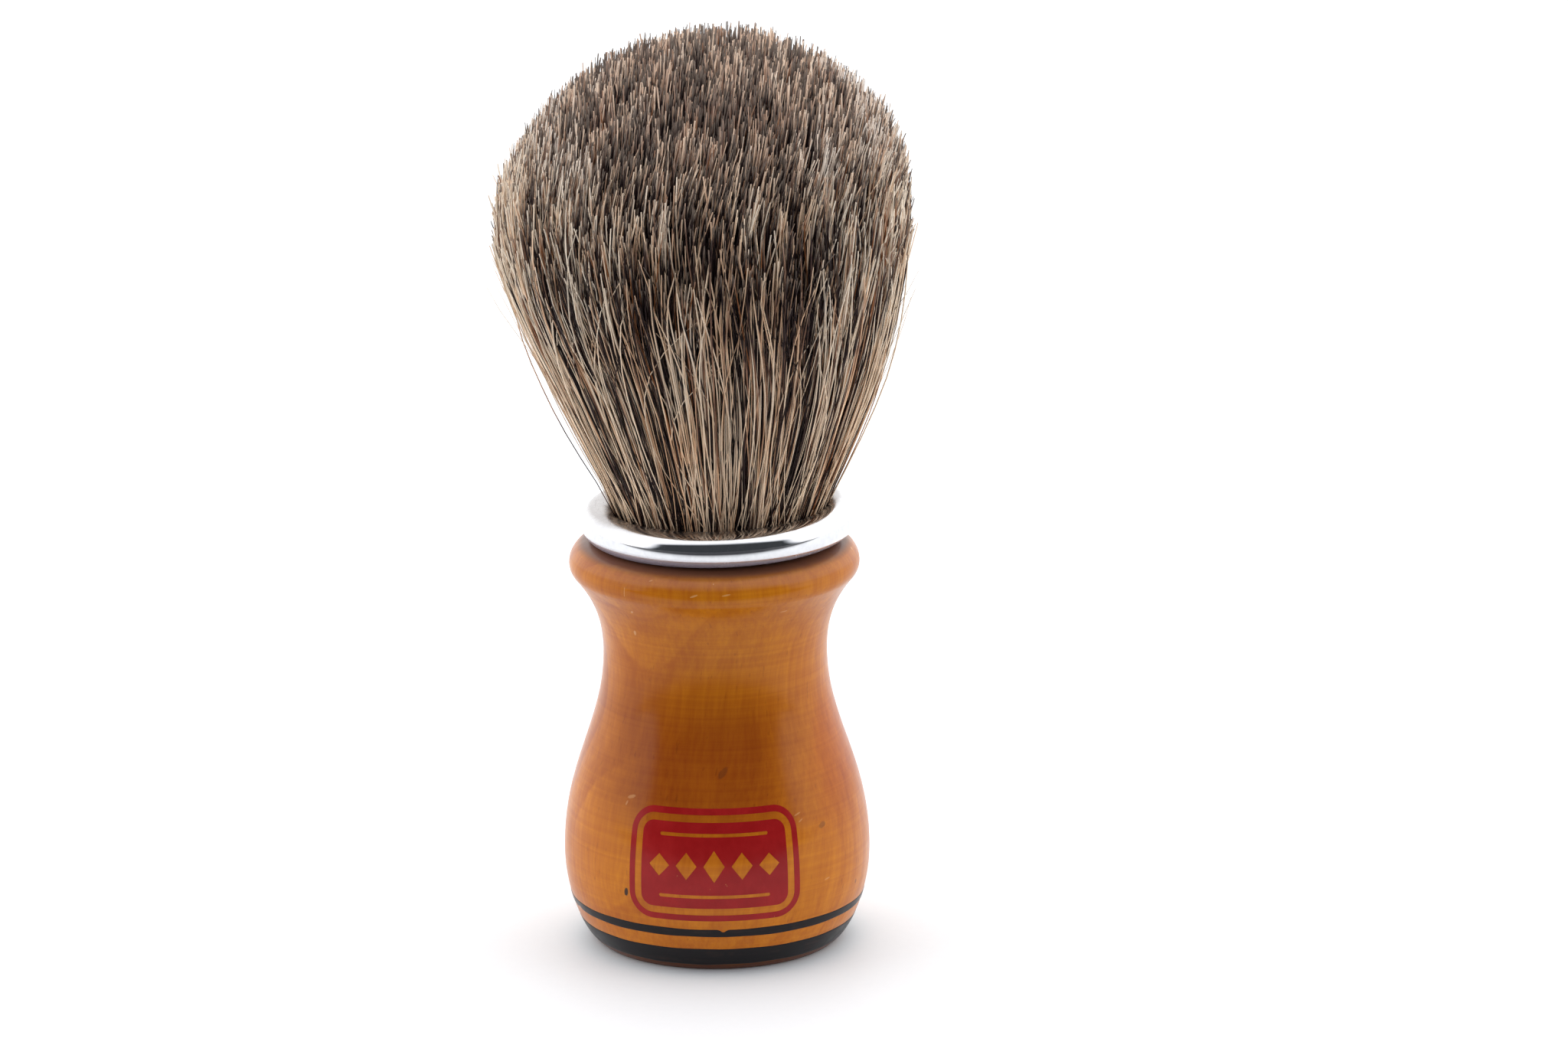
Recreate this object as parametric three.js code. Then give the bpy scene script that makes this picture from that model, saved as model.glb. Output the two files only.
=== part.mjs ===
// A shaving brush: a turned wooden handle, a chromed collar with a rolled rim, and a knot of hair.
// The hair's roots are bound with cord, cast in a resin plug and glued into a socket in the handle.
// Millimetres, +Z up, with the origin at the centre of the flat foot. Every piece is turned about Z,
// and each profile below is a list of (radius, height) points.

import * as THREE from 'three';

// Handle, from the foot up
const FOOT_RADIUS = 14.4;
const BELLY_RADIUS = 18.0;
const BELLY_HEIGHT = 10.8;
const NECK_RADIUS = 13.13;
const NECK_HEIGHT = 35.0;
const LIP_RADIUS = 17.0;
const LIP_HEIGHT = 45.7;
const LIP_UNDER_ROUND = 2.0;
const LIP_UNDER_ANGLE = THREE.MathUtils.degToRad(-40);
const LIP_TOP_WIDTH = 3.4;
const HANDLE_HEIGHT = 48.6;

// Socket in the top of the handle
const SOCKET_RADIUS = 12.0;
const SOCKET_DEPTH = 10.0;
const SOCKET_CHAMFER = 0.5;

// Collar: a thin tube in the socket whose top edge is rolled outwards into a hollow rim
const CLEARANCE = 0.3;
const SHEET = 0.4;
const SKIRT_LENGTH = 5.4;
const RIM_ROUND = 1.95;
const RIM_RADIUS = 16.15;
const RIM_START = THREE.MathUtils.degToRad(155);
const RIM_END = THREE.MathUtils.degToRad(-130);

// Knot: resin plug, binding cord, glue and hair
const GLUE_BED = 1.3;
const GLUE_WALL = 0.4;
const PLUG_HEIGHT = 6.6;
const CORD_THICKNESS = 0.8;
const CORD_TURNS = 3;
const CORD_PITCH = CORD_THICKNESS + CLEARANCE;
const ROOT_RADIUS = 10.6;
const HAIR_EXIT_RADIUS = 13.8;
const HAIR_EXIT_HEIGHT = 55.1;
const HAIR_RADIUS = 24.4;
const HAIR_WIDEST_HEIGHT = 86.6;
const DOME_HEIGHT = 22.2;

// Fineness of the faceted surfaces
const TURN_SEGMENTS = 48;
const LONG_CURVE_STEPS = 9;
const SHORT_CURVE_STEPS = 5;
const CORD_SIDES = 8;
const CORD_STEPS_PER_TURN = 24;

// Heights and radii that follow from the ones above
const SOCKET_FLOOR = HANDLE_HEIGHT - SOCKET_DEPTH;
const SKIRT_OUTER = SOCKET_RADIUS - CLEARANCE;
const SKIRT_MIDDLE = SKIRT_OUTER - SHEET / 2;
const RIM_CENTRE_RADIUS = RIM_RADIUS - RIM_ROUND;
const RIM_CENTRE_HEIGHT = HANDLE_HEIGHT + CLEARANCE + RIM_ROUND;
const SKIRT_TOP = HANDLE_HEIGHT - 0.55;
const SKIRT_BOTTOM = SKIRT_TOP - SKIRT_LENGTH;
const GLUE_FLOOR = SOCKET_FLOOR + CLEARANCE;
const GLUE_RADIUS = SOCKET_RADIUS - CLEARANCE;
const GLUE_TOP = SKIRT_BOTTOM - CLEARANCE;
const PLUG_BOTTOM = GLUE_FLOOR + GLUE_BED + CLEARANCE;
const PLUG_TOP = PLUG_BOTTOM + PLUG_HEIGHT;
const PLUG_RADIUS = GLUE_RADIUS - GLUE_WALL - CLEARANCE;
const CORD_RADIUS = PLUG_RADIUS - CLEARANCE - CORD_THICKNESS / 2;
const CORD_RISE = CORD_TURNS * CORD_PITCH;
const CORD_BOTTOM = PLUG_BOTTOM + (PLUG_HEIGHT - CORD_RISE) / 2;
const HAIR_BOTTOM = PLUG_TOP + CLEARANCE;

const WOOD = { color: 0xa6632f, roughness: 0.32, metalness: 0 };
const CHROME = { color: 0xdcdfe3, roughness: 0.08, metalness: 1 };
const HAIR = { color: 0x6f5f54, roughness: 0.75, metalness: 0 };
const RESIN = { color: 0xb08a52, roughness: 0.25, metalness: 0 };
const COTTON = { color: 0xd8cfb8, roughness: 0.9, metalness: 0 };
const GLUE = { color: 0xc9b07a, roughness: 0.4, metalness: 0 };

const at = (radius, height) => new THREE.Vector2(radius, height);

// A cubic curve from one profile point to another, pulled by two control points.
function sweep(start, pullStart, pullEnd, end) {
  return new THREE.CubicBezierCurve(start, pullStart, pullEnd, end).getPoints(LONG_CURVE_STEPS);
}

// Part of an ellipse in the profile, from one angle to another.
function arc(centre, halfWidth, halfHeight, from, to, steps) {
  const clockwise = to < from;
  return new THREE.EllipseCurve(centre.x, centre.y, halfWidth, halfHeight, from, to, clockwise).getPoints(steps);
}

// Drops points that repeat the one before them, where one curve starts at the end of another.
function withoutRepeats(points) {
  return points.filter((point, i) => i === 0 || point.distanceTo(points[i - 1]) > 1e-6);
}

// Turns a profile about Z.
function turned(points) {
  const geometry = new THREE.LatheGeometry(withoutRepeats(points), TURN_SEGMENTS);
  return geometry.rotateX(Math.PI / 2);
}

// Gives a thin sheet's section: its middle line moved half a thickness to each side, closed on itself.
function sheetSection(middleLine, thickness) {
  const line = withoutRepeats(middleLine);
  const side = (sign) =>
    line.map((point, i) => {
      const before = line[Math.max(i - 1, 0)];
      const after = line[Math.min(i + 1, line.length - 1)];
      const along = after.clone().sub(before).normalize();
      return at(point.x + (sign * along.y * thickness) / 2, point.y - (sign * along.x * thickness) / 2);
    });
  const outer = side(1);
  return [...outer, ...side(-1).reverse(), outer[0].clone()];
}

function piece(name, geometry, finish) {
  const mesh = new THREE.Mesh(geometry, new THREE.MeshStandardMaterial(finish));
  mesh.name = name;
  return mesh;
}

// Foot to belly to neck to lip, then over the top and down into the socket.
function handleProfile() {
  const foot = at(FOOT_RADIUS, 0);
  const belly = at(BELLY_RADIUS, BELLY_HEIGHT);
  const neck = at(NECK_RADIUS, NECK_HEIGHT);
  const lipUnder = arc(
    at(LIP_RADIUS - LIP_UNDER_ROUND, LIP_HEIGHT),
    LIP_UNDER_ROUND,
    LIP_UNDER_ROUND,
    LIP_UNDER_ANGLE,
    0,
    SHORT_CURVE_STEPS,
  );
  const lipSlope = at(-Math.sin(LIP_UNDER_ANGLE), Math.cos(LIP_UNDER_ANGLE));
  const lipPull = lipUnder[0].clone().addScaledVector(lipSlope, -3.5);
  const lipTop = arc(
    at(LIP_RADIUS - LIP_TOP_WIDTH, LIP_HEIGHT),
    LIP_TOP_WIDTH,
    HANDLE_HEIGHT - LIP_HEIGHT,
    0,
    Math.PI / 2,
    LONG_CURVE_STEPS,
  );
  return [
    at(0, 0),
    ...sweep(foot, at(FOOT_RADIUS + 1.5, 1.2), at(BELLY_RADIUS, BELLY_HEIGHT - 5), belly),
    ...sweep(belly, at(BELLY_RADIUS, BELLY_HEIGHT + 10.5), at(NECK_RADIUS, NECK_HEIGHT - 9), neck),
    ...sweep(neck, at(NECK_RADIUS, NECK_HEIGHT + 4), lipPull, lipUnder[0]),
    ...lipUnder,
    ...lipTop,
    at(SOCKET_RADIUS + SOCKET_CHAMFER, HANDLE_HEIGHT),
    at(SOCKET_RADIUS, HANDLE_HEIGHT - SOCKET_CHAMFER),
    at(SOCKET_RADIUS, SOCKET_FLOOR),
    at(0, SOCKET_FLOOR),
  ];
}

// A straight skirt that flares out at the top and curls over into the rim, which stays open underneath.
function ferruleProfile() {
  const curl = arc(
    at(RIM_CENTRE_RADIUS, RIM_CENTRE_HEIGHT),
    RIM_ROUND - SHEET / 2,
    RIM_ROUND - SHEET / 2,
    RIM_START,
    RIM_END,
    3 * SHORT_CURVE_STEPS,
  );
  const flarePull = at(SKIRT_MIDDLE, SKIRT_TOP + 1.1);
  const flare = new THREE.QuadraticBezierCurve(at(SKIRT_MIDDLE, SKIRT_TOP), flarePull, curl[0]);
  const middleLine = [at(SKIRT_MIDDLE, SKIRT_BOTTOM), ...flare.getPoints(SHORT_CURVE_STEPS), ...curl];
  return sheetSection(middleLine, SHEET);
}

// The mass of hair: packed tight in the collar, spreading upwards and closing in a dome.
function hairProfile() {
  const root = at(ROOT_RADIUS, HAIR_BOTTOM);
  const exit = at(HAIR_EXIT_RADIUS, HAIR_EXIT_HEIGHT);
  const widest = at(HAIR_RADIUS, HAIR_WIDEST_HEIGHT);
  return [
    at(0, HAIR_BOTTOM),
    ...sweep(root, at(ROOT_RADIUS, HAIR_BOTTOM + 2.9), at(HAIR_EXIT_RADIUS - 1.9, HAIR_EXIT_HEIGHT - 2.8), exit),
    ...sweep(exit, at(HAIR_EXIT_RADIUS + 4, HAIR_EXIT_HEIGHT + 10), at(HAIR_RADIUS, HAIR_WIDEST_HEIGHT - 8), widest),
    ...arc(at(0, HAIR_WIDEST_HEIGHT), HAIR_RADIUS, DOME_HEIGHT, 0, Math.PI / 2, LONG_CURVE_STEPS),
  ];
}

// The cast resin that holds the hair's roots, with a groove where the binding cord is wound.
function plugProfile() {
  const grooveRadius = CORD_RADIUS - CORD_THICKNESS / 2 - CLEARANCE;
  const grooveMargin = CORD_THICKNESS / 2 + CLEARANCE;
  const grooveBottom = CORD_BOTTOM - grooveMargin;
  const grooveTop = CORD_BOTTOM + CORD_RISE + grooveMargin;
  return [
    at(0, PLUG_BOTTOM),
    at(PLUG_RADIUS, PLUG_BOTTOM),
    at(PLUG_RADIUS, grooveBottom),
    at(grooveRadius, grooveBottom),
    at(grooveRadius, grooveTop),
    at(PLUG_RADIUS, grooveTop),
    at(PLUG_RADIUS, PLUG_TOP),
    at(0, PLUG_TOP),
  ];
}

// A bed of glue on the socket's floor that has risen round the foot of the plug.
function adhesiveProfile() {
  const bedTop = GLUE_FLOOR + GLUE_BED;
  return [
    at(0, GLUE_FLOOR),
    at(GLUE_RADIUS, GLUE_FLOOR),
    at(GLUE_RADIUS, GLUE_TOP),
    at(GLUE_RADIUS - GLUE_WALL, GLUE_TOP),
    at(GLUE_RADIUS - GLUE_WALL, bedTop),
    at(0, bedTop),
  ];
}

class Helix extends THREE.Curve {
  constructor(radius, bottom, rise, turns) {
    super();
    Object.assign(this, { radius, bottom, rise, turns });
  }

  getPoint(t, target = new THREE.Vector3()) {
    const angle = 2 * Math.PI * this.turns * t;
    return target.set(this.radius * Math.cos(angle), this.radius * Math.sin(angle), this.bottom + this.rise * t);
  }
}

// The cord wound round the roots, as one tube along its real helix.
function cordGeometry() {
  const corners = Array.from({ length: CORD_SIDES }, (_, i) => {
    const angle = (2 * Math.PI * i) / CORD_SIDES;
    return at((Math.cos(angle) * CORD_THICKNESS) / 2, (Math.sin(angle) * CORD_THICKNESS) / 2);
  });
  return new THREE.ExtrudeGeometry(new THREE.Shape(corners), {
    extrudePath: new Helix(CORD_RADIUS, CORD_BOTTOM, CORD_RISE, CORD_TURNS),
    steps: CORD_TURNS * CORD_STEPS_PER_TURN,
    bevelEnabled: false,
  });
}

const brush = new THREE.Group();
brush.add(
  piece('handle', turned(handleProfile()), WOOD),
  piece('ferrule', turned(ferruleProfile()), CHROME),
  piece('hair_bundle', turned(hairProfile()), HAIR),
  piece('knot_plug', turned(plugProfile()), RESIN),
  piece('binding_cord', cordGeometry(), COTTON),
  piece('setting_adhesive', turned(adhesiveProfile()), GLUE),
);

export default brush;
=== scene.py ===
"""A shaving brush: a lacquered wooden handle, a chromed collar and a knot of blunt-cut hair.

Profiles repeat the CAD's formulas in millimetres, at a finer step. Only the collar's rim is a little
fatter here, tilted and shifted, and the hair leans, as on a worn brush. Meshes are in metres, in the
CAD's frame. Azimuth 0 is the front, facing -Y, and azimuth grows towards +X.
"""

import math

import bpy
import numpy as np
from mathutils import Matrix, Vector
from mathutils.geometry import delaunay_2d_cdt


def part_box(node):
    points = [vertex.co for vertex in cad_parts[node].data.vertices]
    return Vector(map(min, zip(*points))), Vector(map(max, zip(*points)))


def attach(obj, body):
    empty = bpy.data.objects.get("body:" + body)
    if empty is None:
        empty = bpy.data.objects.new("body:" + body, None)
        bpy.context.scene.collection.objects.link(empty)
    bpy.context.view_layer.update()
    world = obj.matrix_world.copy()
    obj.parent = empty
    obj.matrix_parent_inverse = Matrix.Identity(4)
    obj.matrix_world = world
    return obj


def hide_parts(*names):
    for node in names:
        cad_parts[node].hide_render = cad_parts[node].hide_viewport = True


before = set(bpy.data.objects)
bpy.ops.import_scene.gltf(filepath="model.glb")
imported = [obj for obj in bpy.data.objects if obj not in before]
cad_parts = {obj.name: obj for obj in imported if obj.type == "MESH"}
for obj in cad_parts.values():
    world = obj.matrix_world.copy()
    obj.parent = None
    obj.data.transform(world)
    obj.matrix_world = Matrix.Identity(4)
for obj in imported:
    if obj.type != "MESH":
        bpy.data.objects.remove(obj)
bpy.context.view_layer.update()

MM = 0.001
TURN = 2 * math.pi


def highest(node):
    """Widest radius and greatest height of a turned CAD node, in millimetres."""
    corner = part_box(node)[1]
    return corner.x / MM, corner.z / MM


# Handle
BELLY_RADIUS, HANDLE_HEIGHT = highest("handle")
FOOT_RADIUS = 14.4
FOOT_ROUND = 0.35
BELLY_HEIGHT = 10.8
NECK_RADIUS = 13.13
NECK_HEIGHT = 35.0
LIP_RADIUS = 17.0
LIP_HEIGHT = 45.7
LIP_UNDER_ROUND = 2.0
LIP_UNDER_ANGLE = -40
LIP_TOP_WIDTH = 3.4
SOCKET_RADIUS = 12.0
SOCKET_DEPTH = 10.0
SOCKET_CHAMFER = 0.5
HANDLE_SEGMENTS = 256

# Painted bands round the foot, as (lowest, highest) edge
BANDS = {"band_wide": (0.82, 3.17), "band_thin": (4.87, 5.89)}
PAINT_THICKNESS = 0.035
BAND_SEGMENTS = 720

# Printed badge on the belly
BADGE_CENTRE = 13.7
BADGE_ASIDE = -0.4
BADGE_WIDTH = 21.0
BADGE_HEIGHT = 13.4
BADGE_CORNER = 3.0
BADGE_LINE = 0.75
BADGE_GAP = 0.85
BADGE_DIAMONDS = 5
DIAMOND_PITCH = 3.3
DIAMOND_HALF = (1.25, 1.9)
DIAMOND_SHRINK = 0.28
RULE_ASIDE = 3.65
RULE_HALF = (6.6, 0.20)
RULE_CORNER = 0.19
OUTLINE_STEP = 0.4
INK_THICKNESS = 0.015

# Collar: its skirt's radius, bottom and top, and its rim
COLLAR_SHEET = 0.4
COLLAR_SKIRT = (11.5, 42.65, 48.05)
RIM_CENTRE = (14.07, 50.88)
RIM_LINE_RADIUS = 1.89
RIM_START = 155
RIM_END = -130
RIM_TILT = math.radians(-1.35)
RIM_SHIFT = 0.6
COLLAR_SEGMENTS = 320

# Hair: the outline that it is cut to, and how far out its outermost hairs run at each height
HAIR_RADIUS, HAIR_TOP = highest("hair_bundle")
HAIR_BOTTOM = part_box("hair_bundle")[0].z / MM
HAIR_EXIT = (13.8, 55.1)
HAIR_WIDEST_HEIGHT = 86.6
FAN_START = 50.0
FAN_HEIGHTS = (46.0, 50.0, 51.2, 52.5, 54.0, 61.0, 68.0, 74.0, 80.0, 86.0, 92.0, 110.0)
FAN_RADII = (10.4, 11.5, 11.95, 12.52, 12.9, 15.8, 18.65, 21.05, 23.1, 24.45, 25.2, 26.8)
FARTHEST = 1.2
SHORTER = 1.4
LOCKS = 1500
PIECE_FACES = 170000
SEED = 11

# Layers of hair. make_layer and grow say what the values mean
HAIR_LAYERS = {
    "outer_hair": dict(count=9800, ring=(0.76, 1.0), widths=(0.055, 0.118), spread=0.8, bent=(0.14, 0.5)),
    "inner_hair": dict(
        count=14000, ring=(0.0, 0.79), widths=(0.066, 0.122), points=4, reach=13.0, bent=(0.012, 0.55)
    ),
    "crossing_hair": dict(
        count=900, ring=(0.86, 1.0), widths=(0.046, 0.088), paler=0.47, clump=0.0, spill=0.15, bow=0.22,
        extra=-6.0,
    ),
    "stray_hair": dict(
        count=280, ring=(0.93, 1.0), widths=(0.030, 0.053), paler=0.4, clump=0.1, spill=0.75, stray=2.6,
        extra=-2.0,
    ),
}

# How far the middle of the knot leans towards +X, as (heights, distances)
LEAN = ((56, 68, 80, 90, 98, 107), (0.7, 0.2, -0.9, -1.05, 0.3, 1.2))

# Camera
CAMERA_PLACE = (0.0, -0.94821, 0.31413)
CAMERA_YAW = math.radians(0.4945)
CAMERA_PITCH = math.radians(15.557)
CAMERA_ROLL = math.radians(-0.45)
CAMERA_LENS = 193.36

# Studio. Pairs are for diffuse and for mirrored light; PAPER_EDGE is in degrees above the horizon
PAPER_STRENGTH = (1.95, 1.38)
ROOM_STRENGTH = (0.67, 0.06)
PAPER_EDGE = (71.0, 51.0)
BEHIND_STRENGTH = 1.2
FLOOR_SIZE = 6.0
FLOOR_FRONT = (-0.05, -0.185)


# ---------------------------------------------------------------- curves


def cubic(start, pull_start, pull_end, end, steps):
    """Points of a cubic curve from one profile point to another."""
    t = np.linspace(0, 1, steps + 1)[:, None]
    a, b, c, d = (np.array(p, float) for p in (start, pull_start, pull_end, end))
    return (1 - t) ** 3 * a + 3 * (1 - t) ** 2 * t * b + 3 * (1 - t) * t**2 * c + t**3 * d


def arc(centre, half_width, half_height, start, end, steps):
    """Points of part of an ellipse, from one angle in degrees to another."""
    angle = np.radians(np.linspace(start, end, steps + 1))
    return np.c_[centre[0] + half_width * np.cos(angle), centre[1] + half_height * np.sin(angle)]


def joined(*stretches):
    """One profile from several, without the points that repeat where one ends and the next starts."""
    points = np.vstack([np.atleast_2d(np.array(s, float)) for s in stretches])
    step = np.linalg.norm(np.diff(points, axis=0), axis=1)
    return points[np.r_[True, step > 1e-6]]


def sheet_section(line, thickness):
    """The closed outline of a thin sheet that follows a line."""
    along = np.gradient(line, axis=0)
    along /= np.linalg.norm(along, axis=1)[:, None]
    side = np.c_[along[:, 1], -along[:, 0]] * thickness / 2
    return np.vstack([line + side, (line - side)[::-1]])


# ---------------------------------------------------------------- profiles


def handle_wall():
    """The handle's outside, from the edge of the foot to the top of the lip."""
    rounding = arc((FOOT_RADIUS - FOOT_ROUND, FOOT_ROUND), FOOT_ROUND, FOOT_ROUND, -90, -35, 6)
    belly = (BELLY_RADIUS, BELLY_HEIGHT)
    neck = (NECK_RADIUS, NECK_HEIGHT)
    under = arc(
        (LIP_RADIUS - LIP_UNDER_ROUND, LIP_HEIGHT), LIP_UNDER_ROUND, LIP_UNDER_ROUND, LIP_UNDER_ANGLE, 0, 14
    )
    slope = math.radians(LIP_UNDER_ANGLE)
    pull = under[0] - 3.5 * np.array([-math.sin(slope), math.cos(slope)])
    top_height = HANDLE_HEIGHT - LIP_HEIGHT
    return joined(
        rounding,
        cubic(rounding[-1], (FOOT_RADIUS + 1.5, 1.2), (BELLY_RADIUS, BELLY_HEIGHT - 5), belly, 36),
        cubic(belly, (BELLY_RADIUS, BELLY_HEIGHT + 10.5), (NECK_RADIUS, NECK_HEIGHT - 9), neck, 48),
        cubic(neck, (NECK_RADIUS, NECK_HEIGHT + 4), pull, under[0], 30),
        under,
        arc((LIP_RADIUS - LIP_TOP_WIDTH, LIP_HEIGHT), LIP_TOP_WIDTH, top_height, 0, 90, 26),
    )


WALL = handle_wall()


def wall_radius(height):
    """The handle's radius at a height, where its outside is seen from the side."""
    return np.interp(height, WALL[:, 1], WALL[:, 0])


def handle_profile():
    """Underside, outside, and down into the socket."""
    underside = np.c_[np.linspace(0, FOOT_RADIUS - FOOT_ROUND, 12), np.zeros(12)]
    socket = [
        (SOCKET_RADIUS + SOCKET_CHAMFER, HANDLE_HEIGHT),
        (SOCKET_RADIUS + 0.3 * SOCKET_CHAMFER, HANDLE_HEIGHT - 0.3 * SOCKET_CHAMFER),
        (SOCKET_RADIUS, HANDLE_HEIGHT - SOCKET_CHAMFER),
        (SOCKET_RADIUS, HANDLE_HEIGHT - SOCKET_DEPTH),
        (0, HANDLE_HEIGHT - SOCKET_DEPTH),
    ]
    return joined(underside, WALL, socket)


def collar_profile():
    """A straight skirt that flares out and curls over into the hollow rim."""
    radius, bottom, top = COLLAR_SKIRT
    curl = arc(RIM_CENTRE, RIM_LINE_RADIUS, RIM_LINE_RADIUS, RIM_START, RIM_END, 72)
    t = np.linspace(0, 1, 13)[:, None]
    start, pull = np.array((radius, top)), np.array((radius, top + 1.1))
    flare = (1 - t) ** 2 * start + 2 * (1 - t) * t * pull + t**2 * curl[0]
    return sheet_section(joined((radius, bottom), flare, curl), COLLAR_SHEET)


def rim_radius(height):
    """The collar rim's outside radius at a height."""
    rise = min(abs(height - RIM_CENTRE[1]) / (RIM_LINE_RADIUS + COLLAR_SHEET / 2), 1)
    return RIM_CENTRE[0] + (RIM_LINE_RADIUS + COLLAR_SHEET / 2) * math.sqrt(1 - rise**2)


def hair_outline():
    """The outside of the mass of hair, from the collar to the crown."""
    exit_pull = (HAIR_EXIT[0] + 4, HAIR_EXIT[1] + 10)
    widest = (HAIR_RADIUS, HAIR_WIDEST_HEIGHT)
    return joined(
        (HAIR_EXIT[0] - 1.9, HAIR_EXIT[1] - 2.8),
        cubic(HAIR_EXIT, exit_pull, (HAIR_RADIUS, HAIR_WIDEST_HEIGHT - 8), widest, 40),
        arc((0, HAIR_WIDEST_HEIGHT), HAIR_RADIUS, HAIR_TOP - HAIR_WIDEST_HEIGHT, 0, 90, 60),
    )


OUTLINE = hair_outline()


def outline_radius(height):
    return np.interp(height, OUTLINE[:, 1], OUTLINE[:, 0], right=0.0)


def fan_radius(height):
    """How far from the axis the outermost hair runs at a height, if it is long enough."""
    return np.interp(height, FAN_HEIGHTS, FAN_RADII)


# ---------------------------------------------------------------- meshes


def mesh_object(name, vertices, faces, uv=None, sharp=None):
    """An object from points in millimetres. uv gives each face's corners a place in the bake map."""
    mesh = bpy.data.meshes.new(name)
    mesh.from_pydata((np.asarray(vertices) * MM).tolist(), [], faces)
    if uv is not None:
        layer = mesh.uv_layers.new(name="OFBake")
        layer.data.foreach_set("uv", np.asarray(uv, np.float32).ravel())
    mesh.polygons.foreach_set("use_smooth", np.ones(len(mesh.polygons), bool))
    if sharp is not None:
        mesh.set_sharp_from_angle(angle=math.radians(sharp))
    mesh.update()
    made = bpy.data.objects.new(name, mesh)
    bpy.context.scene.collection.objects.link(made)
    return made


def ring_corners(first, alone, number, segments, v):
    """What one face takes from one ring of points, as (vertex, u, v) from left to right."""
    left, right = number / segments, (number + 1) / segments
    if alone:
        return [(first, (left + right) / 2, v)]
    return [(first + number, left, v), (first + (number + 1) % segments, right, v)]


def turned(name, profile, segments, closed=False, adjust=None, sharp=40):
    """A profile turned about Z.

    adjust may move its points, and is given arrays of radius, height and azimuth.
    """
    profile = np.asarray(profile, float)
    rings = len(profile)
    azimuth = np.arange(segments) * TURN / segments
    radius = np.repeat(profile[:, :1], segments, 1)
    height = np.repeat(profile[:, 1:], segments, 1)
    if adjust:
        radius, height = adjust(radius, height, azimuth[None, :])
    points = np.stack([radius * np.sin(azimuth), -radius * np.cos(azimuth), height], -1)
    alone = radius.max(axis=1) < 1e-9
    start, vertices = [], []
    for i in range(rings):
        start.append(len(vertices))
        vertices.extend(points[i, :1] if alone[i] else points[i])
    reach = np.r_[0, np.cumsum(np.linalg.norm(np.diff(profile, axis=0), axis=1))]
    length = reach[-1] + (np.linalg.norm(profile[0] - profile[-1]) if closed else 0)
    reach = np.r_[reach, length] / length
    faces, uv = [], []
    for i in range(rings if closed else rings - 1):
        k = (i + 1) % rings
        for j in range(segments):
            lower = ring_corners(start[i], alone[i], j, segments, reach[i])
            upper = ring_corners(start[k], alone[k], j, segments, reach[i + 1])
            corners = lower + upper[::-1]
            faces.append([c[0] for c in corners])
            uv.extend(c[1:] for c in corners)
    return mesh_object(name, vertices, faces, uv, sharp)


def tube_rings(centres, radii):
    """Three points round every centre, square to the way that the whole hair runs."""
    along = centres[:, -1] - centres[:, 0]
    along /= np.linalg.norm(along, axis=1)[:, None]
    twist = np.random.default_rng(SEED).normal(size=along.shape)
    across = np.cross(along, twist)
    across /= np.linalg.norm(across, axis=1)[:, None]
    third = np.cross(along, across)
    angle = np.arange(3) * TURN / 3
    ring = across[:, None] * np.cos(angle)[None, :, None] + third[:, None] * np.sin(angle)[None, :, None]
    return centres[:, :, None] + radii[:, :, None, None] * ring[:, None]


def tube_faces(hairs, points):
    """The four-cornered sides and the three-cornered ends of all hairs."""
    first = (np.arange(hairs) * points * 3)[:, None, None]
    level = (np.arange(points - 1) * 3)[None, :, None]
    side = np.arange(3)[None, None, :]
    after = (side + 1) % 3
    base = first + level
    quads = np.stack([base + side, base + after, base + after + 3, base + side + 3], -1).reshape(-1, 4)
    last = points * 3 - 3
    ends = first[:, 0] + np.array([[2, 1, 0, last, last + 1, last + 2]])
    return quads, ends.reshape(-1, 3)


def tubes(name, centres, radii, tone, from_tip):
    """Many thin three-sided hairs as one mesh.

    centres is (hairs, points, 3) and radii (hairs, points), in millimetres; tone is one number a hair,
    and from_tip (hairs, points) the distance to the cut end.
    """
    hairs, points = radii.shape
    vertices = tube_rings(centres, radii)
    quads, ends = tube_faces(hairs, points)
    corner = np.r_[quads.ravel(), ends.ravel()].astype(np.int32)
    starts = np.r_[np.arange(len(quads)) * 4, len(quads) * 4 + np.arange(len(ends)) * 3].astype(np.int32)
    mesh = bpy.data.meshes.new(name)
    mesh.vertices.add(vertices.size // 3)
    mesh.vertices.foreach_set("co", (vertices * MM).astype(np.float32).ravel())
    mesh.loops.add(len(corner))
    mesh.loops.foreach_set("vertex_index", corner)
    mesh.polygons.add(len(starts))
    mesh.polygons.foreach_set("loop_start", starts)
    mesh.polygons.foreach_set("use_smooth", np.arange(len(starts)) < len(quads))
    mesh.update(calc_edges=True)
    put_attribute(mesh, "tone", np.repeat(tone, points * 3))
    put_attribute(mesh, "from_tip", np.repeat(from_tip.ravel(), 3))
    put_hair_map(mesh, corner, hairs, points)
    made = bpy.data.objects.new(name, mesh)
    bpy.context.scene.collection.objects.link(made)
    return made


def put_attribute(mesh, name, values):
    mesh.attributes.new(name, "FLOAT", "POINT").data.foreach_set("value", values.astype(np.float32))


def put_hair_map(mesh, corner, hairs, points):
    """Gives each hair one small cell of the bake map, with the hair's length up the cell."""
    columns = math.ceil(math.sqrt(hairs))
    rows = math.ceil(hairs / columns)
    hair, rest = np.divmod(corner, points * 3)
    level, side = np.divmod(rest, 3)
    u = (hair % columns + 0.25 + 0.25 * side) / columns
    v = (hair // columns + 0.15 + 0.7 * level / (points - 1)) / rows
    layer = mesh.uv_layers.new(name="OFBake")
    layer.data.foreach_set("uv", np.stack([u, v], -1).astype(np.float32).ravel())


# ---------------------------------------------------------------- shader nodes


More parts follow.
